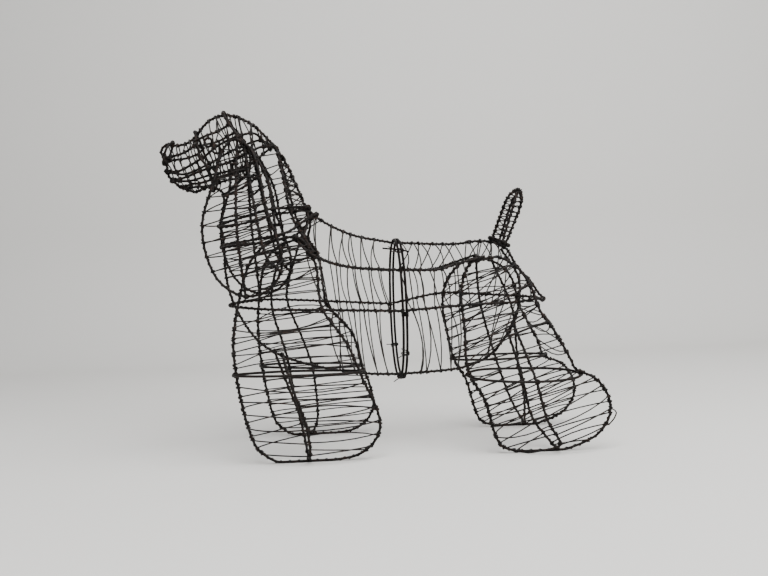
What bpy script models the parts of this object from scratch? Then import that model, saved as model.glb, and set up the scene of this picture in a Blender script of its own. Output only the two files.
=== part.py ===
# Wire topiary frame of a standing spaniel, built from bent rods that lap and are tied where they cross.
# Metres, Z up, the dog looks along -X, its own right side is at -Y (the side nearest the viewer).
import math
import bpy
import bmesh
import numpy as np

for old in list(bpy.data.objects):
    bpy.data.objects.remove(old, do_unlink=True)

# Driving sizes in metres.
HEIGHT = 0.520
FOOT_SPACING = 0.194
WAIST_WIDTH = 0.180
CHEST_WIDTH = 0.152
SHOULDER_WIDTH = 0.108
HIP_WIDTH = 0.104
LEG_THICKNESS = 0.076
NECK_WIDTH = 0.104
SKULL_WIDTH = 0.088
MUZZLE_WIDTH = 0.054
EAR_SPREAD = 0.164
TAIL_THICKNESS = 0.030
EYE_RING_DIAMETER = 0.017
ROD_DIAMETER = 0.0038
TIE_WIRE_DIAMETER = 0.0016
WAIST_HOOP_SPACING = 0.0054

# How the waist hoops turn about the vertical, in degrees.
WAIST_TWIST = 3.5

# Gap left between rods that lap, and how far an open end runs past the rod it is tied to.
LAP_GAP = 0.0003
END_LAP = 0.5 * ROD_DIAMETER

# Straight lengths of the foot loops that lie on the floor, in percent of the height.
FRONT_SOLE = (-35.0, -21.0)
HIND_SOLE = (32.0, 43.5)

# Sides of a rod, how finely its bends are divided, and the least number of straight lengths.
ROD_SIDES = 6
BEND_STEP = math.radians(23.0)
LENGTH_STEP = 0.26
FEWEST_OPEN = 4
FEWEST_CLOSED = 5

# How rods that cross are laid side by side: rounds in all, rounds that also draw rods together,
# and the share of a gap that one round takes away.
SETTLE_ROUNDS = 420
DRAW_ROUNDS = 160
PUSH_SHARE = 0.52
DRAW_SHARE = 0.2
END_SHARE = 0.12

SHARE = HEIGHT / 100.0
REACH = ROD_DIAMETER + LAP_GAP
SOLE_RISE = 0.5 * ROD_DIAMETER * math.cos(math.pi / ROD_SIDES)
FLOOR = SOLE_RISE / SHARE
LAP = REACH / SHARE
END_REACH = 4.0 * ROD_DIAMETER


# Curves

def smooth(points, closed=False, steps=16):
    """Centripetal curve through the control points."""
    p = np.array(points, float)
    if closed:
        p = np.vstack([p[-1], p, p[0], p[1]])
    else:
        p = np.vstack([2 * p[0] - p[1], p, 2 * p[-1] - p[-2]])
    out = []
    for i in range(len(p) - 3):
        a, b, c, d = p[i:i + 4]
        t1 = max(np.linalg.norm(b - a), 1e-9) ** 0.5
        t2 = t1 + max(np.linalg.norm(c - b), 1e-9) ** 0.5
        t3 = t2 + max(np.linalg.norm(d - c), 1e-9) ** 0.5
        for t in np.linspace(t1, t2, steps, endpoint=False):
            ab = (a * (t1 - t) + b * t) / t1
            bc = (b * (t2 - t) + c * (t - t1)) / (t2 - t1)
            cd = (c * (t3 - t) + d * (t - t2)) / (t3 - t2)
            abc = (ab * (t2 - t) + bc * t) / t2
            bcd = (bc * (t3 - t) + cd * (t - t1)) / (t3 - t1)
            out.append((abc * (t2 - t) + bcd * (t - t1)) / (t2 - t1))
    if not closed:
        out.append(p[-2])
    return np.array(out)


def divide(line, closed=False):
    """Fewer points on the line, closer together where it bends."""
    if closed:
        line = np.vstack([line, line[0]])
    step = np.diff(line, axis=0)
    length = np.linalg.norm(step, axis=1)
    way = step / length[:, None]
    turn = np.zeros(len(length))
    cosine = np.clip(np.sum(way[1:] * way[:-1], axis=1), -1.0, 1.0)
    turn[1:] = np.arccos(cosine)
    cost = np.concatenate([[0.0], np.cumsum(turn / BEND_STEP + length / LENGTH_STEP)])
    count = max(int(math.ceil(cost[-1])), FEWEST_CLOSED if closed else FEWEST_OPEN)
    wanted = np.linspace(0.0, cost[-1], count + 1)
    found = np.stack([np.interp(wanted, cost, line[:, k]) for k in range(3)], axis=1)
    return found[:-1] if closed else found


def share(points):
    """Control points in percent of the height along X and Z, with Y already in metres."""
    return [(x * SHARE, y, z * SHARE) for x, y, z in points]


# Body widths

def lean(z, top, top_width):
    """Half spacing of a leg's loop at height z: upright up to the hoop, then leaning in to the body."""
    t = min(max((z - 26.0) / (top - 26.0), 0.0), 1.0)
    t = t * t * (3.0 - 2.0 * t)
    return 0.5 * (FOOT_SPACING + (top_width - FOOT_SPACING) * t)


WAIST_TOP = 60.8
WAIST_BOTTOM = 20.0


def waist_half_width(z):
    """Half width of the waist hoops at height z, in metres."""
    middle = 0.5 * (WAIST_TOP + WAIST_BOTTOM)
    rise = min(abs(z - middle) / (0.5 * (WAIST_TOP - WAIST_BOTTOM)), 1.0)
    return 0.5 * WAIST_WIDTH * (1.0 - rise ** 2.3) ** (1.0 / 2.3)


rods = {}


def rod(name, points, closed=False, fixed=False, extend=True):
    """A bent rod from control points."""
    line = divide(smooth(share(points), closed), closed)
    if extend and not closed:
        first = line[0] - line[1]
        last = line[-1] - line[-2]
        line[0] += first / np.linalg.norm(first) * END_LAP
        line[-1] += last / np.linalg.norm(last) * END_LAP
    rods[name] = {"line": line, "closed": closed, "fixed": fixed, "sole": []}


def pair(name, points, closed=False):
    """The same rod on both sides of the dog, from points given for the side at -Y."""
    rod(name + "_right", [(x, -y, z) for x, y, z in points], closed)
    rod(name + "_left", points, closed)


# Midline rods

rod("front_back_rod", [
    (-0.5, 0, 60.0), (-6, 0, 61.4), (-13, 0, 62.9), (-20, 0, 66.5), (-25.9, 0, 70.6), (-28.6, 0, 77.6),
    (-31.6, 0, 85.0), (-36.6, 0, 91.9), (-42, 0, 97.1), (-48.5, 0, 99.5), (-53.6, 0, 98.0),
    (-57.0, 0, 94.4), (-59.6, 0, 92.0), (-63, 0, 91.0), (-66.6, 0, 91.3), (-68.1, 0, 89.3), (-67.0, 0, 87.4),
], extend=False)
rod("rear_back_rod", [
    (0.5, 0, 60.0), (10, 0, 60.0), (19, 0, 59.0), (25.0, 0, 59.6), (29.2, 0, 58.8), (33.2, 0, 56.6),
    (35.6, 0, 52.4), (40.0, 0, 47.2), (42.2, 0, 43.2), (44.4, 0, 41.5),
], extend=False)
rod("front_belly_rod", [
    (-66.6, 0, 86.0), (-66.2, 0, 82.4), (-63.6, 0, 79.4), (-58.8, 0, 77.3), (-54.4, 0, 78.5),
    (-50.6, 0, 76.8), (-50.4, 0, 72.0), (-51.4, 0, 67.0), (-50.5, 0, 60.0), (-50.4, 0, 50.0),
    (-48.4, 0, 42.8), (-45.6, 0, 37.4), (-41.4, 0, 32.0), (-35.0, 0, 27.6), (-27.0, 0, 24.8),
    (-18.0, 0, 23.2), (-9.0, 0, 21.0), (-0.5, 0, 20.8),
], extend=False)
rod("rear_belly_rod", [
    (0.5, 0, 20.8), (8, 0, 21.4), (19, 0, 22.1), (26.4, 0, 25.0), (31.4, 0, 30.0), (34.8, 0, 35.4),
    (36.5, 0, 42.0), (36.4, 0, 48.4), (34.0, 0, 53.2), (31.2, 0, 56.6),
], extend=False)

# Waist hoops, side by side, and the rods that run along the flanks to them


def waist_hoop(name, side):
    points = []
    count = 16
    middle = 0.5 * (WAIST_TOP + WAIST_BOTTOM)
    for i in range(count):
        a = 2.0 * math.pi * i / count
        c, s = math.cos(a), math.sin(a)
        y = 0.5 * WAIST_WIDTH * math.copysign(abs(c) ** (2 / 2.3), c)
        z = middle + 0.5 * (WAIST_TOP - WAIST_BOTTOM) * math.copysign(abs(s) ** (2 / 2.3), s)
        x = side * 0.5 * WAIST_HOOP_SPACING - y * math.tan(math.radians(WAIST_TWIST))
        points.append((x / SHARE, y, z))
    rods[name] = {"line": np.array(share(points)), "closed": True, "fixed": True, "sole": []}


waist_hoop("front_waist_hoop", -1.0)
waist_hoop("rear_waist_hoop", 1.0)


def at_waist(half, side, z):
    """Point just inside a waist hoop, where a rod along the flank ends."""
    y = side * (waist_half_width(z) - REACH)
    x = half * 0.5 * WAIST_HOOP_SPACING - y * math.tan(math.radians(WAIST_TWIST))
    return (x / SHARE, y, z)


flank = 0.5 * CHEST_WIDTH
rod("front_side_loop", [
    at_waist(-1, -1, 40.5), (-9, -0.99 * waist_half_width(41) + REACH, 40.9), (-22, -flank, 41.6),
    (-34, -flank, 42.1), (-42.5, -0.92 * flank, 42.8), (-47.6, -0.55 * flank, 43.3), (-49.4, 0, 43.6),
    (-47.6, 0.55 * flank, 43.9), (-42.5, 0.92 * flank, 44.0), (-34, flank, 43.9), (-22, flank, 43.2),
    (-9, 0.99 * waist_half_width(41) - REACH, 41.6), at_waist(-1, 1, 41.3),
], extend=False)
rod("rear_side_loop", [
    at_waist(1, -1, 40.6), (8, -0.97 * waist_half_width(41) + REACH, 41.0), (17, -flank, 41.5),
    (29, -0.84 * flank, 41.3), (38.5, -0.48 * flank, 41.8), (42.6, -0.2 * flank, 41.9), (43.8, 0, 41.8),
    (42.6, 0.2 * flank, 42.0), (38.5, 0.48 * flank, 42.4), (28, 0.84 * flank, 43.2), (16, flank, 44.2),
    (8, 0.97 * waist_half_width(41) - REACH, 43.0), at_waist(1, 1, 41.5),
], extend=False)
for side, word in ((-1, "right"), (1, "left")):
    shoulder = side * 0.5 * SHOULDER_WIDTH
    hip = side * 0.5 * HIP_WIDTH
    rod("front_upper_rod_" + word, [
        (-28.8, 0.92 * shoulder, 61.9), (-24.2, 1.14 * shoulder, 57.4), (-18.0, 1.28 * shoulder, 54.3),
        (-9.5, 0.5 * (1.3 * shoulder + side * waist_half_width(52)), 52.7), at_waist(-1, side, 52.1),
    ], extend=False)
    rod("rear_upper_rod_" + word, [
        at_waist(1, side, 52.2), (8, 0.5 * (1.32 * hip + side * waist_half_width(52)), 51.6),
        (13.6, 1.26 * hip, 52.0), (18.4, 1.12 * hip, 53.8),
        (25.0, 0.94 * hip, 55.6),
    ], extend=False)

# Legs: a loop along the dog standing on the floor, a hoop round it and a loop across it


def foot_loop(name, side, outline, sole, top, top_width):
    """Closed loop along the dog. Its lowest run is straight and lies on the floor."""
    points = [(sole[1], FLOOR)] + outline + [(sole[0], FLOOR)]
    placed = [(x, side * lean(z, top, top_width), max(z, FLOOR)) for x, z in points]
    guide = [(sole[1] - 4.0, placed[0][1], FLOOR)] + placed + [(sole[0] + 4.0, placed[-1][1], FLOOR)]
    line = smooth(share(guide))[16:-16]
    line[:, 2] = np.maximum(line[:, 2], SOLE_RISE)
    line = divide(line)
    rods[name] = {"line": line, "closed": True, "fixed": False, "sole": [0, len(line) - 1]}


FRONT_FOOT = [(-14.8, 1.0), (-10.0, 3.6), (-7.2, 8.0), (-7.9, 14.6), (-11.4, 22.8)]
RIGHT_ELBOW = [(-14.4, 30.6), (-18.4, 36.8)]
LEFT_ELBOW = [(-12.6, 30.4), (-16.9, 36.8)]
FRONT_LEG = [
    (-21.9, 42.0), (-22.8, 49.0), (-24.2, 57.6), (-28.4, 62.2), (-36.6, 60.8), (-41.4, 56.4),
    (-44.0, 49.0), (-45.8, 40.0), (-46.5, 30.6), (-45.0, 20.6), (-43.7, 12.0), (-40.8, 4.2),
]
HIND_LEG = [
    (48.6, 1.9), (53.4, 4.2), (56.8, 9.0), (56.8, 14.4), (53.4, 19.6), (48.0, 22.3), (45.7, 27.4),
    (42.2, 34.0), (39.2, 39.2), (37.8, 45.0), (34.4, 51.0), (28.4, 54.6), (21.6, 53.8),
]
RIGHT_THIGH = [(18.3, 48.4), (17.4, 41.6), (17.6, 33.4)]
LEFT_THIGH = [(16.4, 48.6), (14.8, 41.6), (16.0, 33.4)]
HIND_SHIN = [(17.9, 23.6), (21.9, 15.8), (23.9, 8.2), (26.4, 2.2)]
# The left front foot is made a little slimmer than the right one, drawn in about this station.
LEFT_FOOT_SLIM = 0.92
SLIM_ABOUT = -22.6


def slimmer(x):
    return SLIM_ABOUT + LEFT_FOOT_SLIM * (x - SLIM_ABOUT)


left_front_leg = [(slimmer(x), z) for x, z in FRONT_FOOT + LEFT_ELBOW + FRONT_LEG]
left_front_sole = (slimmer(FRONT_SOLE[0]), slimmer(FRONT_SOLE[1]))
foot_loop("front_leg_loop_right", -1, FRONT_FOOT + RIGHT_ELBOW + FRONT_LEG, FRONT_SOLE, 62.2,
          SHOULDER_WIDTH)
foot_loop("front_leg_loop_left", 1, left_front_leg, left_front_sole, 62.2, SHOULDER_WIDTH)
foot_loop("hind_leg_loop_right", -1, HIND_LEG + RIGHT_THIGH + HIND_SHIN, HIND_SOLE, 54.6, HIP_WIDTH)
foot_loop("hind_leg_loop_left", 1, HIND_LEG + LEFT_THIGH + HIND_SHIN, HIND_SOLE, 54.6, HIP_WIDTH)


def leg_hoop(name, side, front, rear, droop):
    """Oval hoop round a leg, outside the leg's loop. droop is how far its outer side hangs down."""
    points = []
    for i in range(12):
        a = 2.0 * math.pi * i / 12
        t = 0.5 - 0.5 * math.cos(a)
        x = front[0] - LAP + (rear[0] - front[0] + 2 * LAP) * t
        z = front[1] + (rear[1] - front[1]) * t - droop * math.sin(a)
        points.append((x, side * (0.5 * FOOT_SPACING + 0.5 * LEG_THICKNESS * math.sin(a)), z))
    rod(name, points, closed=True)


def cross_loop(name, side, first, second, tops, foot):
    """Rod that comes down one side of a leg, passes over the sole and goes up the other side.

    first and second are the inner and the outer line as (x, z), tops their Y at the upper ends.
    """
    middle = 0.5 * FOOT_SPACING
    inner_side = 0.5 * LEG_THICKNESS - REACH
    points = []
    for line, sign, top in ((first, -1, tops[0]), (second, 1, tops[1])):
        part = []
        high = line[0][1]
        for x, z in line:
            t = min(max((z - 20.0) / (high - 20.0), 0.0), 1.0)
            belly = inner_side * (1.0 - 0.42 * (1.0 - min(z / 16.0, 1.0)) ** 1.5)
            y = (middle + sign * belly) * (1.0 - t) + top * t
            part.append((x, side * y, z))
        points += part if sign < 0 else part[::-1]
        if sign < 0:
            points.append((foot, side * middle, FLOOR + LAP))
    rod(name, points)


leg_hoop("front_leg_hoop_right", -1, (-45.8, 24.8), (-12.2, 24.4), -0.3)
leg_hoop("front_leg_hoop_left", 1, (-42.9, 22.9), (-12.6, 21.8), 0.0)
leg_hoop("hind_leg_hoop_right", -1, (18.2, 22.2), (48.4, 21.2), 1.1)
leg_hoop("hind_leg_hoop_left", 1, (18.2, 22.6), (47.0, 22.8), 0.0)
cross_loop("front_leg_cross_loop_right", -1,
           [(-36.8, 29.6), (-32.7, 20.6), (-29.6, 12.0), (-28.0, 4.2)],
           [(-34.6, 28.6), (-29.8, 20.2), (-27.2, 12.6), (-26.2, 4.4)],
           (0.11 * LEG_THICKNESS, 0.17 * LEG_THICKNESS), -27.0)
cross_loop("front_leg_cross_loop_left", 1,
           [(-34.4, 60.8), (-36.4, 53.4), (-38.6, 46.6), (-38.2, 38.6), (-34.6, 26.2), (-32.6, 12.6),
            (-30.0, 3.8)],
           [(-29.4, 60.6), (-32.8, 52.0), (-34.5, 44.6), (-31.2, 33.4), (-28.0, 22.0), (-26.6, 9.0),
            (-26.8, 3.8)], (0.5 * SHOULDER_WIDTH, 0.56 * SHOULDER_WIDTH), -28.2)
cross_loop("hind_leg_cross_loop_right", -1,
           [(32.4, 32.2), (34.3, 19.0), (36.4, 8.6), (40.0, 3.2)],
           [(34.4, 34.2), (35.6, 19.6), (38.2, 9.6), (41.6, 3.6)],
           (0.08 * LEG_THICKNESS, 0.16 * LEG_THICKNESS), 41.6)
cross_loop("hind_leg_cross_loop_left", 1,
           [(25.2, 54.6), (25.6, 44.0), (28.4, 33.6), (31.8, 21.4), (35.2, 9.4), (38.4, 3.8)],
           [(30.4, 54.6), (34.8, 46.0), (38.6, 34.0), (40.2, 20.0), (41.8, 8.6), (41.6, 3.8)],
           (0.46 * HIP_WIDTH, 0.52 * HIP_WIDTH), 40.4)

# Tail: a loop along the dog, a loop across it inside the first, and a hoop at the root

tail = 0.5 * TAIL_THICKNESS
rod("tail_loop", [
    (29.2, 0, 60.6), (31.4, 0, 66.2), (33.4, 0, 71.2), (36.0, 0, 74.3), (37.9, 0, 74.3), (38.2, 0, 71.4),
    (36.4, 0, 66.2), (32.9, 0, 58.5),
])
rod("tail_cross_loop", [
    (31.1, -0.9 * tail, 58.9), (33.7, -tail, 65.6), (35.8, -0.7 * tail, 71.4), (36.7, 0, 73.2),
    (35.8, 0.7 * tail, 71.4), (33.7, tail, 65.6), (31.1, 0.9 * tail, 58.9),
])
rod("tail_root_hoop", [
    (28.2, 0, 60.6), (29.6, -0.9 * tail, 60.0), (31.4, -1.1 * tail, 59.1), (33.2, -0.7 * tail, 58.2),
    (34.0, 0, 57.9), (33.2, 0.7 * tail, 58.2), (31.4, 1.1 * tail, 59.1), (29.6, 0.9 * tail, 60.0),
], closed=True)

# Head

skull = 0.5 * SKULL_WIDTH
muzzle = 0.5 * MUZZLE_WIDTH
rod("nose_ring", [
    (-64.4, 0, 92.0), (-65.4, 0.5 * muzzle, 90.6), (-66.4, 0.56 * muzzle, 88.4), (-67.4, 0, 86.2),
    (-66.4, -0.56 * muzzle, 88.4), (-65.4, -0.5 * muzzle, 90.6),
], closed=True)
rod("muzzle_ring", [
    (-57.8, 0, 94.9), (-57.2, 0.8 * muzzle, 91.6), (-55.8, 1.2 * muzzle, 87.0), (-53.2, 1.3 * muzzle, 83.0),
    (-52.8, 0.8 * muzzle, 79.4), (-53.3, 0, 77.5), (-52.8, -0.8 * muzzle, 79.4),
    (-53.2, -1.3 * muzzle, 83.0), (-55.8, -1.2 * muzzle, 87.0), (-57.2, -0.8 * muzzle, 91.6),
], closed=True)
rod("skull_ring", [
    (-49.4, 0, 100.2), (-47.8, 0.62 * skull, 97.2), (-44.8, 1.0 * skull, 92.6), (-41.2, 1.08 * skull, 87.8),
    (-41.2, 0.98 * skull, 82.6), (-44.8, 0.66 * skull, 79.0), (-49.8, 0, 76.0), (-44.8, -0.66 * skull, 79.0),
    (-41.2, -0.98 * skull, 82.6), (-41.2, -1.08 * skull, 87.8), (-44.8, -1.0 * skull, 92.6),
    (-47.8, -0.62 * skull, 97.2),
], closed=True)
pair("muzzle_rod", [
    (-65.8, 0.62 * muzzle, 86.8), (-62.0, 0.8 * muzzle, 87.7), (-58.8, 0.95 * muzzle, 88.9),
    (-56.4, 1.0 * muzzle, 90.4),
])
pair("face_rod", [
    (-66.2, 0.3 * muzzle, 83.4), (-62.4, 0.72 * muzzle, 83.0), (-58.4, 1.0 * muzzle, 84.7),
    (-54.4, 0.72 * skull, 86.7), (-50.8, 0.88 * skull, 89.0), (-45.0, 0.94 * skull, 91.7),
    (-40.0, 0.74 * skull, 92.8), (-37.6, 0.3 * skull, 91.4),
])
pair("cheek_rod", [
    (-64.8, 0.25 * muzzle, 80.8), (-61.0, 0.75 * muzzle, 81.0), (-57.0, 1.0 * muzzle, 82.2),
    (-52.4, 0.76 * skull, 83.4), (-47.6, 0.9 * skull, 84.4), (-42.4, 0.96 * skull, 86.6),
    (-38.6, 0.7 * skull, 88.8), (-35.4, 0.25 * skull, 89.9),
])
pair("jaw_rod", [
    (-61.6, 0.25 * muzzle, 78.6), (-58.4, 0.8 * muzzle, 79.2), (-53.6, 1.02 * muzzle, 80.0),
    (-48.4, 0.7 * skull, 81.6), (-42.6, 0.86 * skull, 82.3),
])
pair("brow_rod", [
    (-57.2, 0.8 * muzzle, 91.4), (-53.0, 0.76 * skull, 92.7), (-50.2, 0.7 * skull, 93.8),
    (-47.0, 0.7 * skull, 95.6),
])


def eye_ring(name, side):
    points = []
    radius = 0.5 * (EYE_RING_DIAMETER - ROD_DIAMETER) / SHARE
    for i in range(8):
        a = 2.0 * math.pi * i / 8
        along = radius * math.cos(a)
        points.append((-53.0 + 0.94 * along, side * (0.76 * skull + 0.34 * along * SHARE),
                       90.6 + radius * math.sin(a)))
    rod(name, points, closed=True, fixed=True)


eye_ring("eye_ring_right", -1)
eye_ring("eye_ring_left", 1)

# Ears, hanging outside the neck

ear = 0.5 * EAR_SPREAD
pair("ear_loop", [
    (-45.4, 0.62 * ear, 90.6), (-48.4, 0.66 * ear, 87.4), (-49.8, 0.78 * ear, 81.6), (-52.2, 0.88 * ear, 74.6),
    (-54.1, 0.95 * ear, 66.4), (-53.0, 0.98 * ear, 57.0), (-49.4, 1.0 * ear, 50.0), (-43.2, 1.0 * ear, 46.3),
    (-36.6, 1.0 * ear, 47.6), (-32.6, 0.98 * ear, 53.4), (-33.4, 0.95 * ear, 61.6), (-36.6, 0.88 * ear, 71.4),
    (-38.2, 0.76 * ear, 81.0), (-40.6, 0.66 * ear, 87.8),
], closed=True)
pair("ear_front_rib", [
    (-44.2, 0.6 * ear, 91.2), (-44.4, 0.76 * ear, 83.0), (-44.7, 0.92 * ear, 73.0), (-44.4, 1.03 * ear, 64.0),
    (-43.6, 1.05 * ear, 54.0), (-43.0, 1.04 * ear, 45.8),
])
pair("ear_rear_rib", [
    (-42.6, 0.6 * ear, 90.2), (-40.9, 0.74 * ear, 82.0), (-39.4, 0.9 * ear, 72.0), (-38.0, 1.02 * ear, 62.0),
    (-35.9, 1.04 * ear, 55.6), (-32.0, 1.02 * ear, 52.6),
])

# Neck and shoulders

neck = 0.5 * NECK_WIDTH
rod("neck_ring", [
    (-52.3, 0, 66.7), (-49.0, 0.68 * neck, 67.3), (-42.0, 1.0 * neck, 69.0), (-34.0, 0.98 * neck, 70.8),
    (-28.2, 0.6 * neck, 71.4), (-25.2, 0, 71.4), (-28.2, -0.6 * neck, 71.4), (-34.0, -0.98 * neck, 70.8),
    (-42.0, -1.0 * neck, 69.0), (-49.0, -0.68 * neck, 67.3),
], closed=True)
rod("shoulder_ring", [
    (-51.6, 0, 60.6), (-48.5, 0.72 * neck, 61.2), (-40.0, 1.2 * neck, 62.0), (-31.0, 1.18 * neck, 63.8),
    (-26.0, 0.7 * neck, 67.5), (-23.2, 0, 69.6), (-26.0, -0.7 * neck, 67.5), (-31.0, -1.18 * neck, 63.8),
    (-40.0, -1.2 * neck, 62.0), (-48.5, -0.72 * neck, 61.2),
], closed=True)
pair("neck_front_rod", [
    (-40.4, 0.9 * skull, 87.4), (-36.9, 0.86 * neck, 80.6), (-35.4, 0.9 * neck, 74.4),
    (-34.8, 0.98 * neck, 69.0), (-34.0, 1.14 * neck, 62.6),
])
pair("neck_rear_rod", [
    (-33.9, 0.1 * neck, 88.6), (-31.9, 0.5 * neck, 80.4), (-31.2, 0.76 * neck, 73.4),
    (-29.3, 0.88 * neck, 67.4), (-26.2, 0.98 * neck, 62.6), (-23.8, 1.08 * neck, 58.2),
])
pair("shoulder_rib", [
    (-25.8, 0.1 * neck, 70.8), (-25.6, 0.6 * neck, 66.2), (-27.4, 0.96 * neck, 61.2),
])


# Laying the rods against each other

def segments():
    """Every straight length as indices into one array of points, and the open ends."""
    points, first, second, owner, mobile, hold, ends = [], [], [], [], [], [], []
    start = 0
    for number, item in enumerate(rods.values()):
        n = len(item["line"])
        points.append(item["line"])
        for i in range(n if item["closed"] else n - 1):
            first.append(start + i)
            second.append(start + (i + 1) % n)
            owner.append(number)
        mobile += [0.0 if item["fixed"] else 1.0] * n
        hold += [i in item["sole"] for i in range(n)]
        if not item["closed"]:
            ends += [(start, number), (start + n - 1, number)]
        start += n
    return (np.vstack(points), np.array(first), np.array(second), np.array(owner),
            np.array(mobile), np.array(hold), ends)


def nearest(p, q, r, s):
    """Closest points of the lengths p-q and r-s, as shares along each, and the offset between them."""
    u, v, w = q - p, s - r, p - r
    a = np.sum(u * u, axis=1)
    b = np.sum(u * v, axis=1)
    c = np.sum(v * v, axis=1)
    d = np.sum(u * w, axis=1)
    e = np.sum(v * w, axis=1)
    det = np.maximum(a * c - b * b, 1e-16)
    along = np.clip((b * e - c * d) / det, 0.0, 1.0)
    across = np.clip((b * along + e) / c, 0.0, 1.0)
    along = np.clip((b * across - d) / a, 0.0, 1.0)
    offset = (p + u * along[:, None]) - (r + v * across[:, None])
    return along, across, offset


def draw_ends(points, first, second, owner, ends):
    """Each open end that is near another rod moves a little nearer, until it lies against it."""
    for at, number in ends:
        other = owner != number
        p, q = points[first[other]], points[second[other]]
        u = q - p
        t = np.clip(np.sum((points[at] - p) * u, axis=1) / np.sum(u * u, axis=1), 0.0, 1.0)
        away = p + u * t[:, None] - points[at]
        distance = np.linalg.norm(away, axis=1)
        closest = int(np.argmin(distance))
        if REACH < distance[closest] < END_REACH:
            points[at] += away[closest] * (1.0 - REACH / distance[closest]) * END_SHARE


def settle():
    """Moves rods that cross to lie side by side, one lap gap apart."""
    points, first, second, owner, mobile, hold, ends = segments()
    n = len(first)
    left, right = np.triu_indices(n, 1)
    apart = owner[left] != owner[right]
    left, right = left[apart], right[apart]
    near = None
    for turn in range(SETTLE_ROUNDS):
        drawing = turn < DRAW_ROUNDS
        if drawing:
            draw_ends(points, first, second, owner, ends)
        if turn % 20 == 0:
            middle = 0.5 * (points[first] + points[second])
            half = 0.5 * np.linalg.norm(points[first] - points[second], axis=1)
            gap = np.linalg.norm(middle[left] - middle[right], axis=1) - half[left] - half[right]
            near = np.nonzero(gap < 4.0 * REACH)[0]
        one, two = left[near], right[near]
        p, q, r, s = points[first[one]], points[second[one]], points[first[two]], points[second[two]]
        along, across, offset = nearest(p, q, r, s)
        distance = np.linalg.norm(offset, axis=1)
        normal = np.cross(q - p, s - r)
        slant = np.linalg.norm(normal, axis=1) / (
            np.linalg.norm(q - p, axis=1) * np.linalg.norm(s - r, axis=1))
        normal /= np.maximum(np.linalg.norm(normal, axis=1), 1e-12)[:, None]
        inside = (along > 0.02) & (along < 0.98) & (across > 0.02) & (across < 0.98)
        straight = offset / np.maximum(distance, 1e-9)[:, None]
        way = np.where((distance > 1e-4)[:, None], straight, normal)
        lack = REACH - distance
        push = lack > 0
        pull = drawing & (lack < 0) & (distance < 2.2 * REACH) & (slant > 0.5) & inside
        act = np.nonzero(push | pull)[0]
        if not len(act):
            if not drawing:
                break
            continue
        amount = lack[act] * np.where(push[act], PUSH_SHARE, DRAW_SHARE)
        move = np.zeros_like(points)
        count = np.zeros(len(points))
        both = mobile[first[one[act]]] + mobile[first[two[act]]]
        for group, part, sign in ((one, along, 1.0), (two, across, -1.0)):
            t = part[act]
            scale = sign * amount * 2.0 / np.maximum(both, 1.0) / ((1 - t) ** 2 + t ** 2)
            for index, weight in ((first, 1 - t), (second, t)):
                target = index[group[act]]
                value = way[act] * (scale * weight * mobile[target])[:, None]
                np.add.at(move, target, value)
                np.add.at(count, target, (weight > 0.15).astype(float))
        move /= np.maximum(count, 1.0)[:, None] ** 0.5
        move[hold, 2] = 0.0
        points += move
        points[:, 2] = np.maximum(points[:, 2], SOLE_RISE)
    start = 0
    for item in rods.values():
        n = len(item["line"])
        item["line"] = points[start:start + n]
        start += n


settle()


# Waist ties: a wire wound round both hoops, with its ends left standing out

def waist_tie(name, angle_degrees, turns, tail_length):
    """Wire wound round both waist hoops at an angle about the waist, with two free tails."""
    front = rods["front_waist_hoop"]["line"]
    rear = rods["rear_waist_hoop"]["line"]
    index = int(round(angle_degrees / 360.0 * len(front))) % len(front)
    after = (index + 1) % len(front)
    centre = 0.25 * (front[index] + front[after] + rear[index] + rear[after])
    along = front[after] - front[index]
    along /= np.linalg.norm(along)
    between = rear[index] - front[index]
    between /= np.linalg.norm(between)
    between -= along * float(np.dot(between, along))
    between /= np.linalg.norm(between)
    out = np.cross(along, between)
    hub = np.array([0.0, 0.0, 0.5 * (WAIST_TOP + WAIST_BOTTOM) * SHARE])
    if float(np.dot(out, centre - hub)) < 0:
        out = -out
    reach = 0.5 * (ROD_DIAMETER + TIE_WIRE_DIAMETER) + LAP_GAP
    steps = 8
    wide = reach / math.cos(math.pi / steps)
    pitch = TIE_WIRE_DIAMETER + 2.0 * LAP_GAP
    line = []
    total = int(round(turns * steps))
    for i in range(total + 1):
        b = 0.5 * math.pi + 2.0 * math.pi * (i + 0.5 - 0.5 * total) / steps - math.pi * (turns % 2)
        shift = math.copysign(0.5 * WAIST_HOOP_SPACING, math.cos(b))
        climb = pitch * (i / steps - 0.5 * turns)
        line.append(centre + between * (shift + wide * math.cos(b)) + out * wide * math.sin(b) + along * climb)
    first = line[0] - line[1]
    last = line[-1] - line[-2]
    lift = out * 0.6
    first = first / np.linalg.norm(first) + lift
    last = last / np.linalg.norm(last) + lift
    line.insert(0, line[0] + first / np.linalg.norm(first) * tail_length - along * pitch)
    line.append(line[-1] + last / np.linalg.norm(last) * tail_length + along * pitch)
    rods[name] = {"line": np.array(line), "closed": False, "fixed": True, "sole": [],
                  "diameter": TIE_WIRE_DIAMETER}


waist_tie("top_waist_tie", 112.5, 1.5, 0.016)
waist_tie("right_waist_tie", 202.5, 1.5, 0.010)
waist_tie("lower_waist_tie", 247.5, 1.5, 0.010)
waist_tie("left_waist_tie", 315.0, 1.5, 0.010)

# Solids

metal = (0.035, 0.028, 0.024, 1.0)


def material(name):
    """Dark rusty steel. Each rod has its own."""
    made = bpy.data.materials.new(name)
    made.use_nodes = True
    shader = made.node_tree.nodes["Principled BSDF"]
    shader.inputs["Base Color"].default_value = metal
    shader.inputs["Roughness"].default_value = 0.62
    shader.inputs["Metallic"].default_value = 0.6
    return made


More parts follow.
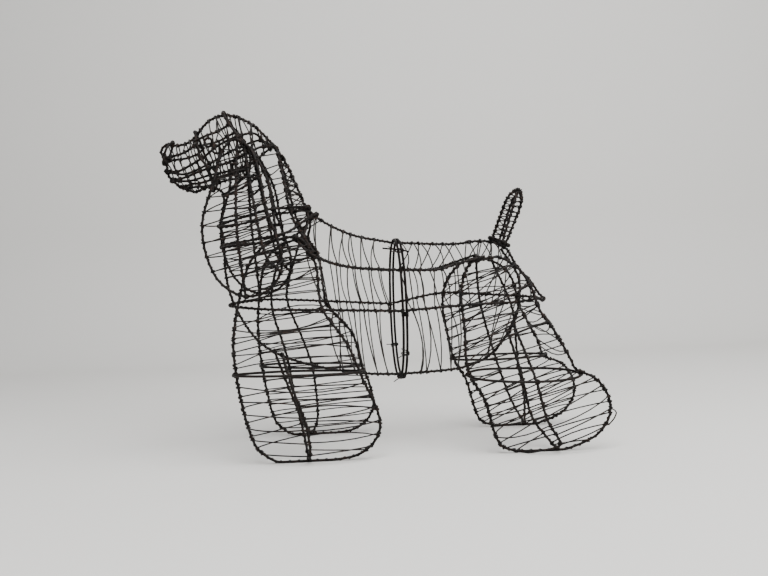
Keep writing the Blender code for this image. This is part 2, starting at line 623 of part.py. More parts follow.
def tube(name, line, closed, radius, upright):
    """A six-sided bar along the line, mitred at each bend, with flat sides towards the inside of the bends.

    An upright bar has its lowest flat side level.
    """
    n = len(line)
    bars = bmesh.new()
    rings = []
    centred = line - line.mean(axis=0)
    flat = np.linalg.svd(centred, full_matrices=True)[2][2]
    if upright:
        flat = np.array([0.0, 1.0, 0.0])
    before_last = None
    for i in range(n):
        to_here = line[i] - line[i - 1] if (closed or i > 0) else line[1] - line[0]
        from_here = line[(i + 1) % n] - line[i] if (closed or i < n - 1) else to_here
        to_here = to_here / np.linalg.norm(to_here)
        from_here = from_here / np.linalg.norm(from_here)
        tangent = to_here + from_here
        tangent /= np.linalg.norm(tangent)
        guide = flat if closed or before_last is None else before_last
        u = guide - tangent * float(np.dot(guide, tangent))
        u /= np.linalg.norm(u)
        before_last = u
        v = np.cross(tangent, u)
        bend = from_here - to_here
        size = np.linalg.norm(bend)
        half_turn = math.asin(min(0.5 * size, 0.9))
        ring = []
        for k in range(ROD_SIDES):
            a = 2.0 * math.pi * k / ROD_SIDES
            offset = radius * (math.cos(a) * u + math.sin(a) * v)
            if size > 1e-6:
                c = bend / size
                offset = offset + c * float(np.dot(offset, c)) * (1.0 / math.cos(half_turn) - 1.0)
            ring.append(bars.verts.new(line[i] + offset))
        rings.append(ring)
    spans = n if closed else n - 1
    for i in range(spans):
        near, far = rings[i], rings[(i + 1) % n]
        for k in range(ROD_SIDES):
            j = (k + 1) % ROD_SIDES
            bars.faces.new((near[k], near[j], far[j], far[k]))
    if not closed:
        bars.faces.new(rings[0][::-1])
        bars.faces.new(rings[-1])
    bmesh.ops.recalc_face_normals(bars, faces=bars.faces)
    mesh = bpy.data.meshes.new(name)
    bars.to_mesh(mesh)
    bars.free()
    thing = bpy.data.objects.new(name, mesh)
    mesh.materials.append(material(name + "_steel"))
    bpy.context.scene.collection.objects.link(thing)
    return thing


things = []
for name, item in rods.items():
    radius = 0.5 * item.get("diameter", ROD_DIAMETER)
    things.append(tube(name, item["line"], item["closed"], radius, bool(item["sole"])))

# The origin goes to the middle of the base.
corners = np.array([v.co[:] for thing in things for v in thing.data.vertices])
low, high = corners.min(axis=0), corners.max(axis=0)
shift = np.array([-0.5 * (low[0] + high[0]), -0.5 * (low[1] + high[1]), -low[2]])
for thing in things:
    for v in thing.data.vertices:
        v.co = v.co + type(v.co)(shift)
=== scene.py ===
import math
import random

import bmesh
import bpy
from mathutils import Matrix, Vector, kdtree


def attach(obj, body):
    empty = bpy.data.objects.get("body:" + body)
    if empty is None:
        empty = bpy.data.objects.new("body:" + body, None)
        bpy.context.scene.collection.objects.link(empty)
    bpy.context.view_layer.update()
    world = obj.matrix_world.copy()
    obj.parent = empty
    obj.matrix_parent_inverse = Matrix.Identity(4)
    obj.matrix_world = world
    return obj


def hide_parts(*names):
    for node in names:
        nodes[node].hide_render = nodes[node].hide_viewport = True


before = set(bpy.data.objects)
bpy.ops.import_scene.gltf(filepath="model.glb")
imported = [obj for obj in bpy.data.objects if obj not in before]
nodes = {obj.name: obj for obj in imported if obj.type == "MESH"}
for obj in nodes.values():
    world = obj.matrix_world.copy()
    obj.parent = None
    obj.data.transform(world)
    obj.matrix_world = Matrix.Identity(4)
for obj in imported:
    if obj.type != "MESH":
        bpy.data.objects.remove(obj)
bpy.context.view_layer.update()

# Thickness of the rods and wires, in metres

ROD_RADIUS = 0.0019
TIE_RADIUS = 0.0008
LACE_RADIUS = 0.0010
WRAP_RADIUS = 0.0006
WAIST_WIRE_RADIUS = 0.0014

# Places that several pieces share. The dog looks along -x, and its right side is towards -y

WAIST = 0.028
LEG_OUT = 0.097
EAR_OUT = 0.08
SIDES = (("right", -1), ("left", 1))
UP = Vector((0.0, 0.0, 1.0))

# How closely the middle lines of the rods are followed

ROD_STEP = 0.0045
TIE_STEP = 0.0012
RAIL_STEP = 0.002
LEVEL_REACH = 0.003
WAY_REACH = 0.004
LEAST_STEP = 0.0003

# How the rings of a solid are found: the edge angles at its flat ends and at the corners of its
# six-sided section, how wide a ring is in bar radii, and how near its doubled vertices are

CAP_ANGLE = math.radians(80)
CORNER_ANGLES = (math.radians(46), math.radians(74))
RING_WIDTH = 2.2
DOUBLES = 0.00002

# Winding: the points of a turn, then how far apart close turns lie and how high the wire sits on
# the rod, both in wire radii, then how far a turn goes along a rod and how slack the strands are

TURN_POINTS = 7
LAST_TURN_STEP = 0.9
CLOSE_TURNS = 2.1
WRAP_SEAT = 0.95
LACE_PITCH = 0.009
SLACK = 0.0020
SLACK_SPAN = 0.05
SHORT_SPAN = 0.012

# Distance from one strand to the next in each area, as in the photo

FRONT_FOOT_STEP = 0.0185
FRONT_LEG_STEP = 0.0175
CHEST_STEP = 0.017
FLANK_STEP = 0.0165
RUMP_STEP = 0.020
HIP_STEP = 0.017
THIGH_STEP = 0.030
THIGH_LINE_STEP = 0.0165
HIND_FOOT_STEP = 0.0165
TAIL_STEP = 0.0078
TAIL_TIP_STEP = 0.0022
NECK_STEP = 0.021
NAPE_STEP = 0.015
EAR_STEP = 0.0215
MUZZLE_STEP = 0.011
SKULL_STEPS = (0.0145, 0.0175)

# Ties: how near two rods must pass, how far apart the ties are, and how wide they reach

TIE_POINTS = 9
LEAST_GAP = 0.0005
TIE_REACH = 0.0056
TIE_PITCH = 0.00132
TIE_SPACING = 0.009
RUN_SPACING = 0.026
TIE_CROWD = 0.022
TIE_ROOM = 0.0018
TIE_WIDEST = 0.0042
MOST_TURNS = 5
RUN_TURNS = 2
SIDE_BY_SIDE = math.radians(22)

chance = random.Random(11)


# Middle lines of the rods, taken from the solids of the frame

def start_ring(bar, radius):
    """The six corners of one ring: an end of an open bar, or a ring on a straight run of a closed one."""
    caps = {vert for edge in bar.edges if edge.calc_face_angle(0.0) > CAP_ANGLE for vert in edge.verts}
    if caps:
        first = min(caps, key=lambda vert: vert.co[:])
        return sorted(caps, key=lambda vert: (vert.co - first.co).length)[:6], False
    beside = {}
    for edge in bar.edges:
        if CORNER_ANGLES[0] < edge.calc_face_angle(0.0) < CORNER_ANGLES[1]:
            for vert in edge.verts:
                beside.setdefault(vert, []).append(edge.other_vert(vert).co)
    plain = [vert for vert in beside if len(beside[vert]) == 2]
    first = max(plain, key=lambda vert: (beside[vert][0] - beside[vert][1]).length)
    way = (beside[first][0] - beside[first][1]).normalized()

    def off_ring(vert):
        gap = vert.co - first.co
        return abs(gap.dot(way)) + (1.0 if gap.length > RING_WIDTH * radius else 0.0)

    return sorted(bar.verts, key=off_ring)[:6], True


def ring_centres(node, radius):
    """Centres of the six-cornered rings along a bar, in order, and whether the bar is closed."""
    bar = bmesh.new()
    bar.from_mesh(node.data)
    bmesh.ops.remove_doubles(bar, verts=bar.verts, dist=DOUBLES)
    ring, closed = start_ring(bar, radius)
    centres = []
    seen = set()
    while ring:
        centres.append(sum((vert.co for vert in ring), Vector()) / len(ring))
        seen.update(ring)
        ahead = {edge.other_vert(vert) for vert in ring for edge in vert.link_edges} - seen
        if closed and len(centres) == 1:
            normal = (ring[1].co - ring[0].co).cross(ring[2].co - ring[0].co)
            ahead = {vert for vert in ahead if (vert.co - ring[0].co).dot(normal) > 0}
        ring = sorted(ahead, key=lambda vert: vert.co[:])
    bar.free()
    return centres, closed


def smoothed(points, closed, step):
    """Centripetal curve through the points, divided into short even lengths."""
    if closed:
        guide = [points[-1]] + points + [points[0], points[1]]
    else:
        guide = [2 * points[0] - points[1]] + points + [2 * points[-1] - points[-2]]
    line = []
    for i in range(len(guide) - 3):
        a, b, c, d = guide[i:i + 4]
        t1 = (b - a).length ** 0.5
        t2 = t1 + (c - b).length ** 0.5
        t3 = t2 + (d - c).length ** 0.5
        count = max(int(math.ceil((c - b).length / step)), 1)
        for k in range(count):
            t = t1 + (t2 - t1) * k / count
            ab = (a * (t1 - t) + b * t) / t1
            bc = (b * (t2 - t) + c * (t - t1)) / (t2 - t1)
            cd = (c * (t3 - t) + d * (t - t2)) / (t3 - t2)
            abc = (ab * (t2 - t) + bc * t) / t2
            bcd = (bc * (t3 - t) + cd * (t - t1)) / (t3 - t1)
            line.append((abc * (t2 - t) + bcd * (t - t1)) / (t2 - t1))
    if not closed:
        line.append(points[-1].copy())
    return line


class Rod:
    """The smoothed middle line of a bent rod, measured along its length."""

    def __init__(self, name, radius=ROD_RADIUS):
        centres, self.closed = ring_centres(nodes[name], radius)
        self.name = name
        self.radius = radius
        self.line = smoothed(centres, self.closed, ROD_STEP if radius == ROD_RADIUS else TIE_STEP)
        for point in self.line:
            point.z = max(point.z, radius)
        ahead = self.line[1:] + ([self.line[0]] if self.closed else [])
        self.marks = [0.0]
        for one, two in zip(self.line, ahead):
            self.marks.append(self.marks[-1] + (two - one).length)
        self.length = self.marks[-1]

    def find(self, s):
        """The span that holds the distance s along the rod, and the share of it."""
        s = s % self.length if self.closed else min(max(s, 0.0), self.length)
        low, high = 0, len(self.marks) - 2
        while low < high:
            middle = (low + high + 1) // 2
            if self.marks[middle] <= s:
                low = middle
            else:
                high = middle - 1
        span = max(self.marks[low + 1] - self.marks[low], 1e-9)
        return low, (s - self.marks[low]) / span

    def at(self, s):
        """The point at the distance s along the rod."""
        i, part = self.find(s)
        return self.line[i].lerp(self.line[(i + 1) % len(self.line)], part)

    def way(self, s):
        """The direction of the rod at the distance s."""
        return (self.at(s + WAY_REACH) - self.at(s - WAY_REACH)).normalized()

    def nearest(self, target):
        """The distance along the rod of its point nearest the target."""
        best = min(range(len(self.line)), key=lambda i: (self.line[i] - target).length)
        return self.marks[best]


class Rail:
    """A stretch of a rod, from its point nearest start to its point nearest end."""

    def __init__(self, name, start=None, end=None, via=None):
        self.rod = rods[name]
        self.first = self.rod.nearest(Vector(start)) if start else 0.0
        self.last = self.rod.nearest(Vector(end)) if end else self.rod.length
        if self.rod.closed and end:
            whole = self.rod.length
            ahead = (self.last - self.first) % whole
            if via is None:
                forward = ahead <= 0.5 * whole
            else:
                middle = Vector(via)
                one = (self.rod.at(self.first + 0.5 * ahead) - middle).length
                two = (self.rod.at(self.first - 0.5 * (whole - ahead)) - middle).length
                forward = one <= two
            self.last = self.first + (ahead if forward else ahead - whole)
        count = max(int(abs(self.last - self.first) / RAIL_STEP), 2)
        places = [self.first + (self.last - self.first) * i / count for i in range(count + 1)]
        self.samples = [(place, self.rod.at(place)) for place in places]

    def level(self, axis, height):
        """Distance along the rod where it reaches this height along the axis, or None."""
        place, point = min(self.samples, key=lambda sample: abs(sample[1].dot(axis) - height))
        return place if abs(point.dot(axis) - height) < LEVEL_REACH else None


# Wire wound from rod to rod

def round_rod(visits, arriving, leaving, out, wire, pitch):
    """Path of the wire while it stays on one rod. visits are (rail, distance along the rod, full turns).

    The wire comes in along arriving, lies on the side of the rod that faces out, goes on from visit
    to visit with one turn for each pitch, and leaves the rod once it points along leaving.
    """
    rod = visits[0][0].rod
    s = visits[0][1]
    along = rod.way(s)
    entry = arriving - along * arriving.dot(along)
    if entry.length < 1e-6:
        entry = along.orthogonal()
    entry.normalize()
    side = along.cross(entry)
    if side.dot(out) < 0:
        side = -side
    hand = 1.0 if along.cross(side).dot(entry) > 0 else -1.0
    plan = []
    turned = 0.0
    for k, (_, place, turns) in enumerate(visits):
        if k:
            length = place - s
            count = max(int(abs(length) / pitch + 0.5), 1)
            points = count * TURN_POINTS
            for i in range(1, points + 1):
                plan.append((s + length * i / points, turned + math.tau * i / TURN_POINTS))
            turned += math.tau * count
            s = place
        advance = wire * CLOSE_TURNS if chance.random() < 0.5 else -wire * CLOSE_TURNS
        for i in range(int(round(turns * TURN_POINTS)) + 1):
            part = i / TURN_POINTS
            plan.append((s + advance * (part - 0.5 * turns), turned + math.tau * part))
        turned += math.tau * turns
    last_way = rod.way(s)
    reach = rod.radius + wire * WRAP_SEAT
    path = []
    for place, angle in plan:
        here = rod.way(place)
        side = (side - here * side.dot(here)).normalized()
        ahead = hand * here.cross(side)
        path.append(rod.at(place) + reach * (math.cos(angle) * side + math.sin(angle) * ahead))
    ahead = hand * last_way.cross(side)
    wanted = math.atan2(-leaving.dot(side), leaving.dot(ahead))
    more = (wanted - turned) % math.tau
    steps = int(more / LAST_TURN_STEP)
    for i in range(1, steps + 1):
        angle = turned + more * i / steps
        path.append(rod.at(s) + reach * (math.cos(angle) * side + math.sin(angle) * ahead))
    return path


def wound(contacts, bow=0.03, sway=0.0):
    """Path of one wire that touches the rods in turn. contacts are (rail, distance, full turns).

    bow and sway are how far a strand arches outwards and to the rear, as shares of its length.
    """
    visits = []
    for contact in contacts:
        if visits and visits[-1][-1][0] is contact[0]:
            visits[-1].append(contact)
        else:
            visits.append([contact])
    first = [visit[0][0].rod.at(visit[0][1]) for visit in visits]
    last = [visit[-1][0].rod.at(visit[-1][1]) for visit in visits]
    before = [first[0] * 2 - first[1]] + last[:-1]
    after = first[1:] + [last[-1] * 2 - last[-2]]
    path = []
    for k, visit in enumerate(visits):
        out = first[k] + last[k] - before[k] - after[k]
        if out.length < 1e-5:
            out = Vector((0.0, first[k].y, 0.001))
        turn = round_rod(visit, first[k] - before[k], after[k] - last[k], out, LACE_RADIUS, LACE_PITCH)
        if path:
            a, b = path[-1], turn[0]
            span = (b - a).length
            lift = out.normalized() + old_out
            if lift.length > 1e-4:
                lift.normalize()
            lift = lift * span * bow * chance.uniform(0.5, 1.5)
            lift += Vector([chance.uniform(-SLACK, SLACK) for _ in range(3)]) * min(span / SLACK_SPAN, 1.5)
            lift.x += span * sway * chance.uniform(0.4, 1.6)
            count = 2 if span < SHORT_SPAN else 5
            for i in range(1, count):
                t = i / count
                path.append(a.lerp(b, t) + lift * 4 * t * (1 - t))
        path += turn
        old_out = out.normalized()
    return path


def tilted(degrees):
    """Direction across level strands that rise to the dog's rear by this angle."""
    angle = math.radians(degrees)
    return Vector((-math.sin(angle), 0.0, math.cos(angle)))


def leaning(angle):
    """Direction across upright strands whose lower ends lean to the dog's rear by this angle."""
    return Vector((math.cos(angle), 0.0, math.sin(angle)))


def girth(top, bottom, flank):
    """Rails of a wire that goes round the dog: a midline rod, the right side, the other, the left side."""
    right, left = [flank(word, side) for word, side in SIDES]
    return [top] + right + [bottom] + left[::-1]


def rounds(rails, axis, start, end, step, offsets, turns=1.0, jitter=0.3):
    """Contacts of a wire that goes through all the rails again and again, a step further each time."""
    step = math.copysign(step, end - start)
    contacts = []
    for i in range(int((end - start) / step)):
        for rail, offset in zip(rails, offsets):
            share = i + offset + jitter * chance.uniform(-0.5, 0.5)
            place = rail.level(axis, start + step * share)
            if place is not None:
                contacts.append((rail, place, turns))
    return contacts


def rope(name, pitch, start=None, end=None):
    """Path of a wire that turns round one rod along its length, or from start to end."""
    rail = Rail(name, start, end)
    across = rail.rod.way(rail.first).orthogonal()
    visits = [(rail, rail.first, 1), (rail, rail.last, 1)]
    return round_rod(visits, across, across, UP, WRAP_RADIUS, pitch)


def side_by_side(one, mark, other, far_mark):
    """Whether two rods run nearly the same way at these distances along them."""
    return abs(one.way(mark).dot(other.way(far_mark))) > math.cos(SIDE_BY_SIDE)


def crossings(reach):
    """Places where two rods pass closer than reach, nearest pairs first and not too close together.

    Each is (gap, rod, distance along it, other rod, distance along that, place between them).
    """
    samples = []
    for name in sorted(rods):
        rod = rods[name]
        if rod.radius == ROD_RADIUS:
            samples += [(rod, mark, point) for mark, point in zip(rod.marks, rod.line)]
    tree = kdtree.KDTree(len(samples))
    for i, (_, _, point) in enumerate(samples):
        tree.insert(point, i)
    tree.balance()
    found = []
    for rod, mark, point in samples:
        for _, i, gap in tree.find_range(point, reach):
            other, far_mark, far_point = samples[i]
            hoops = "waist_hoop" in rod.name and "waist_hoop" in other.name
            if other.name > rod.name and not hoops:
                found.append((gap, rod, mark, other, far_mark, (point + far_point) * 0.5))
    found.sort(key=lambda entry: (entry[0], entry[1].name, entry[3].name, entry[2]))
    kept = []
    for entry in found:
        spacing = RUN_SPACING if side_by_side(*entry[1:5]) else TIE_SPACING
        if all((entry[5] - old[5]).length > spacing for old in kept):
            kept.append(entry)
    return kept


def bound(one, mark, other, far_mark, turns):
    """Paths of the wire that binds two rods where they cross or run side by side."""
    a, b = one.at(mark), other.at(far_mark)
    way, far_way = one.way(mark), other.way(far_mark)
    if way.dot(far_way) < 0:
        far_way = -far_way
    normal = b - a
    normal -= way * normal.dot(way)
    if normal.length < LEAST_GAP:
        normal = way.cross(UP)
    height = 0.5 * max((b - a).length, 2 * ROD_RADIUS) + ROD_RADIUS + WRAP_RADIUS
    normal.normalize()
    if side_by_side(one, mark, other, far_mark):
        windings = [(normal.cross(way + far_way).normalized(), ROD_RADIUS + WRAP_RADIUS)]
    else:
        wide = min(ROD_RADIUS / math.sin(0.5 * way.angle(far_way)), TIE_WIDEST) + WRAP_RADIUS
        windings = [((way + far_way).normalized(), ROD_RADIUS + TIE_ROOM),
                    ((way - far_way).normalized(), wide)]
    middle = (a + b) * 0.5
    paths = []
    for side, width in windings:
        across = normal.cross(side).normalized()
        path = []
        for i in range(turns * TIE_POINTS + 1):
            angle = math.tau * i / TIE_POINTS
            shift = across * (i / TIE_POINTS - 0.5 * turns) * TIE_PITCH
            path.append(middle + normal * height * math.cos(angle) + side * width * math.sin(angle) + shift)
        paths.append(path)
    return paths


def thinned(path):
    """The path without points that nearly coincide with the one before."""
    kept = [path[0]]
    for point in path[1:]:
        if (point - kept[-1]).length > LEAST_STEP:
            kept.append(point)
    return kept


def wires(name, paths, radius, material, sides=1, closed=False):
    """One piece made of round wires along the paths, kept above the floor."""
    curve = bpy.data.curves.new(name, "CURVE")
    curve.dimensions = "3D"
    curve.bevel_depth = radius
    curve.bevel_resolution = sides
    curve.use_fill_caps = True
    for path in paths:
        path = thinned(path)
        spline = curve.splines.new("POLY")
        spline.points.add(len(path) - 1)
        for point, place in zip(spline.points, path):
            point.co = (place.x, place.y, max(place.z, radius), 1.0)
        spline.use_cyclic_u = closed
    holder = bpy.data.objects.new(name + "_path", curve)
    bpy.context.scene.collection.objects.link(holder)
    bpy.context.view_layer.update()
    shape = bpy.data.meshes.new_from_object(holder.evaluated_get(bpy.context.evaluated_depsgraph_get()))
    bpy.data.objects.remove(holder)
    shape.name = name
    shape.polygons.foreach_set("use_smooth", [True] * len(shape.polygons))
    shape.materials.clear()
    shape.materials.append(material)
    piece = bpy.data.objects.new(name, shape)
    bpy.context.scene.collection.objects.link(piece)
    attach(piece, "root")
    return piece


# Finishes

class Value:
    """A socket that can be used in sums."""

    def __init__(self, tree, socket):
        self.tree = tree
        self.socket = socket

    def maths(self, operation, other, swap=False, clamp=False):
        """The result of one maths node on this value and another value or number."""
        node = self.tree.nodes.new("ShaderNodeMath")
        node.operation = operation
        node.use_clamp = clamp
        pair = [self, other]
        if swap:
            pair.reverse()
        for slot, term in zip(node.inputs, pair):
            if isinstance(term, Value):
                self.tree.links.new(term.socket, slot)
            else:
                slot.default_value = term
        return Value(self.tree, node.outputs[0])

    def __add__(self, other):
        return self.maths("ADD", other)

    __radd__ = __add__

    def __mul__(self, other):
        return self.maths("MULTIPLY", other)

    def __sub__(self, other):
        return self.maths("SUBTRACT", other)

    def __rsub__(self, other):
        return self.maths("SUBTRACT", other, swap=True)

    def above(self, low, high):
        """0 below low, 1 above high."""
        return ((self - low) * (1.0 / (high - low))).maths("ADD", 0.0, clamp=True)


class Finish:
    """A material and the nodes that make it."""

    def __init__(self, name):
        self.material = bpy.data.materials.new(name)
        self.material.use_nodes = True
        self.tree = self.material.node_tree
        self.shader = self.tree.nodes["Principled BSDF"]
        self.place = self.node("ShaderNodeTexCoord", output="Object")

    def node(self, kind, output=0, **inputs):
        """One output of a new node whose inputs are values or numbers."""
        made = self.tree.nodes.new(kind)
        for key, value in inputs.items():
            slot = made.inputs[key.replace("_", " ")]
            if isinstance(value, Value):
                self.tree.links.new(value.socket, slot)
            else:
                slot.default_value = value
        return Value(self.tree, made.outputs[output])

    def noise(self, scale, detail, rough):
        """Noise in the piece's own metres."""
        return self.node("ShaderNodeTexNoise", Vector=self.place, Scale=scale, Detail=detail,
                         Roughness=rough)

    def mix(self, share, one, two):
        """Colour one, with this share of colour two."""
        made = self.tree.nodes.new("ShaderNodeMix")
        made.data_type = "RGBA"
        for slot, term in zip((made.inputs[0], made.inputs[6], made.inputs[7]), (share, one, two)):
            if isinstance(term, Value):
                self.tree.links.new(term.socket, slot)
            else:
                slot.default_value = term
        return Value(self.tree, made.outputs[2])

    def feed(self, name, value):
        """Joins a value to the named input of the shader."""
        self.tree.links.new(value.socket, self.shader.inputs[name])


def rusty_steel(name, dark, brown, rust, rust_share, metal, shine=0.16):
    """Dark annealed steel with thin brown oxide and specks of rust."""
    finish = Finish(name)
    broad = finish.noise(34.0, 3.0, 0.6)
    patch = finish.noise(160.0, 4.0, 0.65)
    speck = finish.noise(900.0, 2.0, 0.6)
    oxide = broad.above(0.38, 0.66)
    spots = (patch * 0.65 + speck * 0.35).above(1.0 - rust_share - 0.38, 1.0 - rust_share - 0.26)
    colour = finish.mix(oxide, dark, brown)
    colour = finish.mix(spots * 0.8, colour, rust)
    finish.feed("Base Color", colour)
    finish.feed("Roughness", 0.42 + oxide * 0.16 + spots * 0.24)
    finish.feed("Metallic", metal - spots * (0.8 * metal))
    bump = finish.node("ShaderNodeBump", Height=patch * 0.6 + speck * 0.4, Strength=0.35, Distance=0.0004)
    finish.feed("Normal", bump)
    finish.shader.inputs["Specular IOR Level"].default_value = shine
    return finish.material


rod_steel = rusty_steel(
    "rod_steel_dark", dark=(0.0055, 0.0048, 0.0046, 1), brown=(0.0105, 0.0080, 0.0070, 1),
    rust=(0.030, 0.015, 0.010, 1), rust_share=0.09, metal=0.35)
lace_steel = rusty_steel(
    "lacing_wire_dark", dark=(0.0060, 0.0054, 0.0052, 1), brown=(0.0120, 0.0095, 0.0084, 1),
    rust=(0.034, 0.018, 0.012, 1), rust_share=0.10, metal=0.3)
hoop_steel = rusty_steel(
    "waist_hoop_dark", dark=(0.0045, 0.0042, 0.0042, 1), brown=(0.0085, 0.0068, 0.0062, 1),
    rust=(0.024, 0.013, 0.009, 1), rust_share=0.07, metal=0.04, shine=0.02)

# The rods themselves, round and smoothly bent in place of the six-sided solids

rods = {}
for name in sorted(nodes):
    tie = name.endswith("_tie")
    rods[name] = Rod(name, TIE_RADIUS if tie else ROD_RADIUS)
    steel = hoop_steel if "waist_hoop" in name else lace_steel if tie else rod_steel
    piece = wires("round_" + name, [rods[name].line], rods[name].radius, steel,
                  sides=1 if tie else 3, closed=rods[name].closed)
    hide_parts(name)


def lace(name, paths, radius=LACE_RADIUS, steel=lace_steel):
    """A piece of wire that the solids do not have."""
    piece = wires(name, paths, radius, steel)
    return piece


# Wire wound along the rods, with how far one turn goes along each, and the ties where they cross

ROPED = {
    "front_back_rod": 0.0075, "rear_back_rod": 0.0075, "front_belly_rod": 0.009, "rear_belly_rod": 0.009,
    "front_side_loop": 0.010, "rear_side_loop": 0.010, "front_upper_rod": 0.0085, "rear_upper_rod": 0.0085,
    "front_leg_loop": 0.013, "hind_leg_loop": 0.013, "front_leg_cross_loop": 0.016,
    "hind_leg_cross_loop": 0.016, "ear_loop": 0.012, "ear_front_rib": 0.014, "ear_rear_rib": 0.014,
    "neck_ring": 0.012, "shoulder_ring": 0.012, "neck_front_rod": 0.010, "neck_rear_rod": 0.010,
    "shoulder_rib": 0.024, "tail_loop": 0.009, "tail_cross_loop": 0.012, "tail_root_hoop": 0.012,
    "skull_ring": 0.018,
}


def ropes():
    """The thin wire that turns round the rods of each half."""
    paths = {"front": [], "rear": []}
    for name in sorted(rods):
        stem = name.replace("_right", "").replace("_left", "")
        if stem in ROPED:
            half = "front" if rods[name].line[0].x < WAIST else "rear"
            paths[half].append(rope(name, ROPED[stem]))
    for half, made in paths.items():
        lace(half + "_rod_wrapping", made, WRAP_RADIUS)


ropes()


def ties():
    """A tie at each crossing, with more turns where the crossings crowd together."""
    paths = {"front": [], "rear": []}
    found = crossings(TIE_REACH)
    for _, one, mark, other, far_mark, place in found:
        crowd = sum((entry[5] - place).length < TIE_CROWD for entry in found)
        half = "front" if place.x < WAIST else "rear"
        turns = RUN_TURNS if side_by_side(one, mark, other, far_mark) else min(1 + crowd, MOST_TURNS)
        paths[half] += bound(one, mark, other, far_mark, turns)
    for half, made in paths.items():
        lace(half + "_crossing_ties", made, WRAP_RADIUS)


ties()


def waist_ties():
    """Coils that bind the two waist hoops, and the long loose wire near their top."""
    hoops = rods["front_waist_hoop"], rods["rear_waist_hoop"]
    coils = []
    for place, turns in (((WAIST, 0.0, 0.312), 7), ((WAIST, 0.0, 0.109), 7), ((WAIST, -0.086, 0.206), 5)):
        marks = [hoop.nearest(Vector(place)) for hoop in hoops]
        coils += bound(hoops[0], marks[0], hoops[1], marks[1], turns)
    lace("waist_coils", coils, WRAP_RADIUS, hoop_steel)
    loose = [(0.006, -0.0570, 0.3030), (0.018, -0.0583, 0.3014), (0.034, -0.0583, 0.2992),
             (0.045, -0.056, 0.2965)]
    line = smoothed([Vector(place) for place in loose], False, 0.003)
    lace("waist_top_wire", [line], WAIST_WIRE_RADIUS, hoop_steel)


waist_ties()


# Front legs. The far one is a little slimmer from front to rear, about the same middle

FAR_LEG_WIDTH = 0.92
FRONT_LEG_MIDDLE = -0.0892


def front_leg(word, side):
    """Strands round the foot, the leg and the shoulder of one front leg."""
    y = LEG_OUT * side
    name = "front_leg_loop_" + word
    cross = "front_leg_cross_loop_" + word
    slim = 1.0 if side < 0 else FAR_LEG_WIDTH

    def x(value):
        """The place from front to rear that matches this one on the near leg."""
        return FRONT_LEG_MIDDLE + slim * (value - FRONT_LEG_MIDDLE)

    front = Rail(name, (x(-0.154), y, 0.0), (x(-0.214), y, 0.128), (x(-0.2), y, 0.06))
    rear = Rail(name, (x(-0.081), y, 0.0), (x(-0.034), y, 0.122), (x(-0.01), y, 0.05))
    inner = Rail(cross, (-0.112, y, 0.006), (-0.141, y * 0.66, 0.105), (-0.13, y * 0.66, 0.05))
    outer = Rail(cross, (-0.112, y, 0.006), (-0.124, y * 1.36, 0.105), (-0.11, y * 1.36, 0.05))
    circuit = [front, front, outer, rear, rear, inner]
    foot = rounds(circuit, UP, 0.128, -0.012, FRONT_FOOT_STEP, [-0.35, 0.0, 0.1, -0.15, 0.1, 0.22],
                  turns=1, jitter=0.15)
    high_front = Rail(name, (x(-0.214), y, 0.128), (-0.20, y * 0.8, 0.232), (-0.21, y, 0.18))
    high_rear = Rail(name, (x(-0.034), y, 0.122), (-0.084, y * 0.8, 0.232), (-0.05, y, 0.17))
    circuit = [high_front, high_front, high_rear, high_rear]
    leg = rounds(circuit, tilted(4), 0.222, 0.130, FRONT_LEG_STEP, [-0.35, 0.0, -0.1, 0.2],
                 turns=1, jitter=0.2)
    chest = rounds([Rail(name, (-0.20, y * 0.8, 0.21), (-0.135, y * 0.6, 0.325)),
                    Rail(name, (-0.1, y * 0.8, 0.21), (-0.12, y * 0.6, 0.325))],
                   tilted(8), 0.325, 0.225, CHEST_STEP, [0.0, 0.2])
    lace("front_leg_lacing_" + word, [wound(foot, 0.07), wound(leg, 0.07), wound(chest, 0.07)])


for word, side in SIDES:
    front_leg(word, side)


# Front half of the body

def body_front():
    """Upright strands from the back to the belly, ahead of the waist."""

    def flank(word, side):
        y = LEG_OUT * side
        return [
            Rail("front_upper_rod_" + word, (-0.105, side * 0.06, 0.30), (0.018, side * 0.07, 0.271)),
            Rail("front_side_loop", (-0.085, side * 0.076, 0.216), (0.020, side * 0.085, 0.213)),
            Rail("front_leg_loop_" + word, (-0.034, y, 0.122), (-0.084, y * 0.8, 0.232), (-0.05, y, 0.17)),
        ]

    back = Rail("front_back_rod", (-0.118, 0, 0.345), (0.020, 0, 0.312))
    belly = Rail("front_belly_rod", (-0.062, 0, 0.121), (0.020, 0, 0.109))
    offsets = [0.0, 0.04, 0.06, 0.08, 0.12, 0.4, 0.45, 0.5]
    rails = girth(back, belly, flank)
    contacts = rounds(rails, leaning(0.13), -0.062, 0.056, FLANK_STEP, offsets, jitter=0.5)
    loose = [(-0.062, -0.086, 0.213), (-0.0605, -0.088, 0.17), (-0.063, -0.09, 0.128)]
    lace("front_body_lacing", [wound(contacts, 0.025, sway=-0.025), [Vector(place) for place in loose]])


body_front()


# Rear half of the body. The rump's strands are counted along its slope

RUMP_SLOPE = Vector((0.94, 0.0, -0.34))


